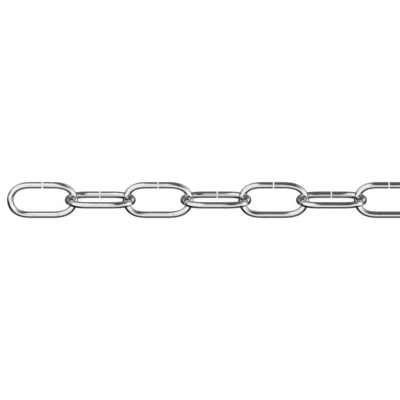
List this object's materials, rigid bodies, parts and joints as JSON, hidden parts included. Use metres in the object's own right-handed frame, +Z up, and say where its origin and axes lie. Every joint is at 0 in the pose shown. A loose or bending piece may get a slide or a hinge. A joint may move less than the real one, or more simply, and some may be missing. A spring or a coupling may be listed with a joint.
{
  "type": "steel link chain",
  "caption": "Straight length of bright long-link steel chain, bent from round wire, with each link's two ends butted and left unwelded.",
  "frame": {"origin": "on the floor, under the middle of the chain as it lies pulled straight", "axes": "+X along the chain, from link_01 to link_37; +Z up, off the floor; +Y towards the side that carries each link's cut"},
  "size_m": [1.005, 0.0134, 0.0133],
  "materials": {
    "plated_steel": "bright nickel-plated steel wire"
  },
  "bodies": {
    "link_01": {"link_01": "plated_steel"},
    "link_02": {"link_02": "plated_steel"},
    "link_03": {"link_03": "plated_steel"},
    "link_04": {"link_04": "plated_steel"},
    "link_05": {"link_05": "plated_steel"},
    "link_06": {"link_06": "plated_steel"},
    "link_07": {"link_07": "plated_steel"},
    "link_08": {"link_08": "plated_steel"},
    "link_09": {"link_09": "plated_steel"},
    "link_10": {"link_10": "plated_steel"},
    "link_11": {"link_11": "plated_steel"},
    "link_12": {"link_12": "plated_steel"},
    "link_13": {"link_13": "plated_steel"},
    "link_14": {"link_14": "plated_steel"},
    "link_15": {"link_15": "plated_steel"},
    "link_16": {"link_16": "plated_steel"},
    "link_17": {"link_17": "plated_steel"},
    "link_18": {"link_18": "plated_steel"},
    "link_19": {"link_19": "plated_steel"},
    "link_20": {"link_20": "plated_steel"},
    "link_21": {"link_21": "plated_steel"},
    "link_22": {"link_22": "plated_steel"},
    "link_23": {"link_23": "plated_steel"},
    "link_24": {"link_24": "plated_steel"},
    "link_25": {"link_25": "plated_steel"},
    "link_26": {"link_26": "plated_steel"},
    "link_27": {"link_27": "plated_steel"},
    "link_28": {"link_28": "plated_steel"},
    "link_29": {"link_29": "plated_steel"},
    "link_30": {"link_30": "plated_steel"},
    "link_31": {"link_31": "plated_steel"},
    "link_32": {"link_32": "plated_steel"},
    "link_33": {"link_33": "plated_steel"},
    "link_34": {"link_34": "plated_steel"},
    "link_35": {"link_35": "plated_steel"},
    "link_36": {"link_36": "plated_steel"},
    "link_37": {"link_37": "plated_steel"}
  },
  "joints": [
    {"name": "swing_01", "type": "hinge", "parent": "link_02", "child": "link_01", "pos_m": [-0.47408, 0, 0.00666], "axis": [0, -0.7071, 0.7071], "range_deg": [-135, 135]},
    {"name": "swing_02", "type": "hinge", "parent": "link_03", "child": "link_02", "pos_m": [-0.44708, 0, 0.00666], "axis": [0, -0.7071, -0.7071], "range_deg": [-135, 135]},
    {"name": "swing_03", "type": "hinge", "parent": "link_04", "child": "link_03", "pos_m": [-0.42007, 0, 0.00666], "axis": [0, 0.7071, -0.7071], "range_deg": [-135, 135]},
    {"name": "swing_04", "type": "hinge", "parent": "link_05", "child": "link_04", "pos_m": [-0.39308, 0, 0.00666], "axis": [0, 0.7071, 0.7071], "range_deg": [-135, 135]},
    {"name": "swing_05", "type": "hinge", "parent": "link_06", "child": "link_05", "pos_m": [-0.36607, 0, 0.00666], "axis": [0, -0.7071, 0.7071], "range_deg": [-135, 135]},
    {"name": "swing_06", "type": "hinge", "parent": "link_07", "child": "link_06", "pos_m": [-0.33908, 0, 0.00666], "axis": [0, -0.7071, -0.7071], "range_deg": [-135, 135]},
    {"name": "swing_07", "type": "hinge", "parent": "link_08", "child": "link_07", "pos_m": [-0.31207, 0, 0.00666], "axis": [0, 0.7071, -0.7071], "range_deg": [-135, 135]},
    {"name": "swing_08", "type": "hinge", "parent": "link_09", "child": "link_08", "pos_m": [-0.28508, 0, 0.00666], "axis": [0, 0.7071, 0.7071], "range_deg": [-135, 135]},
    {"name": "swing_09", "type": "hinge", "parent": "link_10", "child": "link_09", "pos_m": [-0.25807, 0, 0.00666], "axis": [0, -0.7071, 0.7071], "range_deg": [-135, 135]},
    {"name": "swing_10", "type": "hinge", "parent": "link_11", "child": "link_10", "pos_m": [-0.23108, 0, 0.00666], "axis": [0, -0.7071, -0.7071], "range_deg": [-135, 135]},
    {"name": "swing_11", "type": "hinge", "parent": "link_12", "child": "link_11", "pos_m": [-0.20408, 0, 0.00666], "axis": [0, 0.7071, -0.7071], "range_deg": [-135, 135]},
    {"name": "swing_12", "type": "hinge", "parent": "link_13", "child": "link_12", "pos_m": [-0.17708, 0, 0.00666], "axis": [0, 0.7071, 0.7071], "range_deg": [-135, 135]},
    {"name": "swing_13", "type": "hinge", "parent": "link_14", "child": "link_13", "pos_m": [-0.15007, 0, 0.00666], "axis": [0, -0.7071, 0.7071], "range_deg": [-135, 135]},
    {"name": "swing_14", "type": "hinge", "parent": "link_15", "child": "link_14", "pos_m": [-0.12308, 0, 0.00666], "axis": [0, -0.7071, -0.7071], "range_deg": [-135, 135]},
    {"name": "swing_15", "type": "hinge", "parent": "link_16", "child": "link_15", "pos_m": [-0.09607, 0, 0.00666], "axis": [0, 0.7071, -0.7071], "range_deg": [-135, 135]},
    {"name": "swing_16", "type": "hinge", "parent": "link_17", "child": "link_16", "pos_m": [-0.06907, 0, 0.00666], "axis": [0, 0.7071, 0.7071], "range_deg": [-135, 135]},
    {"name": "swing_17", "type": "hinge", "parent": "link_18", "child": "link_17", "pos_m": [-0.04208, 0, 0.00666], "axis": [0, -0.7071, 0.7071], "range_deg": [-135, 135]},
    {"name": "swing_18", "type": "hinge", "parent": "link_19", "child": "link_18", "pos_m": [-0.01507, 0, 0.00666], "axis": [0, -0.7071, -0.7071], "range_deg": [-135, 135]},
    {"name": "swing_20", "type": "hinge", "parent": "link_19", "child": "link_20", "pos_m": [0.01507, 0, 0.00666], "axis": [0, -0.7071, -0.7071], "range_deg": [-135, 135]},
    {"name": "swing_21", "type": "hinge", "parent": "link_20", "child": "link_21", "pos_m": [0.04208, 0, 0.00666], "axis": [0, -0.7071, 0.7071], "range_deg": [-135, 135]},
    {"name": "swing_22", "type": "hinge", "parent": "link_21", "child": "link_22", "pos_m": [0.06907, 0, 0.00666], "axis": [0, 0.7071, 0.7071], "range_deg": [-135, 135]},
    {"name": "swing_23", "type": "hinge", "parent": "link_22", "child": "link_23", "pos_m": [0.09607, 0, 0.00666], "axis": [0, 0.7071, -0.7071], "range_deg": [-135, 135]},
    {"name": "swing_24", "type": "hinge", "parent": "link_23", "child": "link_24", "pos_m": [0.12308, 0, 0.00666], "axis": [0, -0.7071, -0.7071], "range_deg": [-135, 135]},
    {"name": "swing_25", "type": "hinge", "parent": "link_24", "child": "link_25", "pos_m": [0.15007, 0, 0.00666], "axis": [0, -0.7071, 0.7071], "range_deg": [-135, 135]},
    {"name": "swing_26", "type": "hinge", "parent": "link_25", "child": "link_26", "pos_m": [0.17708, 0, 0.00666], "axis": [0, 0.7071, 0.7071], "range_deg": [-135, 135]},
    {"name": "swing_27", "type": "hinge", "parent": "link_26", "child": "link_27", "pos_m": [0.20408, 0, 0.00666], "axis": [0, 0.7071, -0.7071], "range_deg": [-135, 135]},
    {"name": "swing_28", "type": "hinge", "parent": "link_27", "child": "link_28", "pos_m": [0.23108, 0, 0.00666], "axis": [0, -0.7071, -0.7071], "range_deg": [-135, 135]},
    {"name": "swing_29", "type": "hinge", "parent": "link_28", "child": "link_29", "pos_m": [0.25807, 0, 0.00666], "axis": [0, -0.7071, 0.7071], "range_deg": [-135, 135]},
    {"name": "swing_30", "type": "hinge", "parent": "link_29", "child": "link_30", "pos_m": [0.28508, 0, 0.00666], "axis": [0, 0.7071, 0.7071], "range_deg": [-135, 135]},
    {"name": "swing_31", "type": "hinge", "parent": "link_30", "child": "link_31", "pos_m": [0.31207, 0, 0.00666], "axis": [0, 0.7071, -0.7071], "range_deg": [-135, 135]},
    {"name": "swing_32", "type": "hinge", "parent": "link_31", "child": "link_32", "pos_m": [0.33908, 0, 0.00666], "axis": [0, -0.7071, -0.7071], "range_deg": [-135, 135]},
    {"name": "swing_33", "type": "hinge", "parent": "link_32", "child": "link_33", "pos_m": [0.36607, 0, 0.00666], "axis": [0, -0.7071, 0.7071], "range_deg": [-135, 135]},
    {"name": "swing_34", "type": "hinge", "parent": "link_33", "child": "link_34", "pos_m": [0.39308, 0, 0.00666], "axis": [0, 0.7071, 0.7071], "range_deg": [-135, 135]},
    {"name": "swing_35", "type": "hinge", "parent": "link_34", "child": "link_35", "pos_m": [0.42007, 0, 0.00666], "axis": [0, 0.7071, -0.7071], "range_deg": [-135, 135]},
    {"name": "swing_36", "type": "hinge", "parent": "link_35", "child": "link_36", "pos_m": [0.44708, 0, 0.00666], "axis": [0, -0.7071, -0.7071], "range_deg": [-135, 135]},
    {"name": "swing_37", "type": "hinge", "parent": "link_36", "child": "link_37", "pos_m": [0.47408, 0, 0.00666], "axis": [0, -0.7071, 0.7071], "range_deg": [-135, 135]}
  ]
}
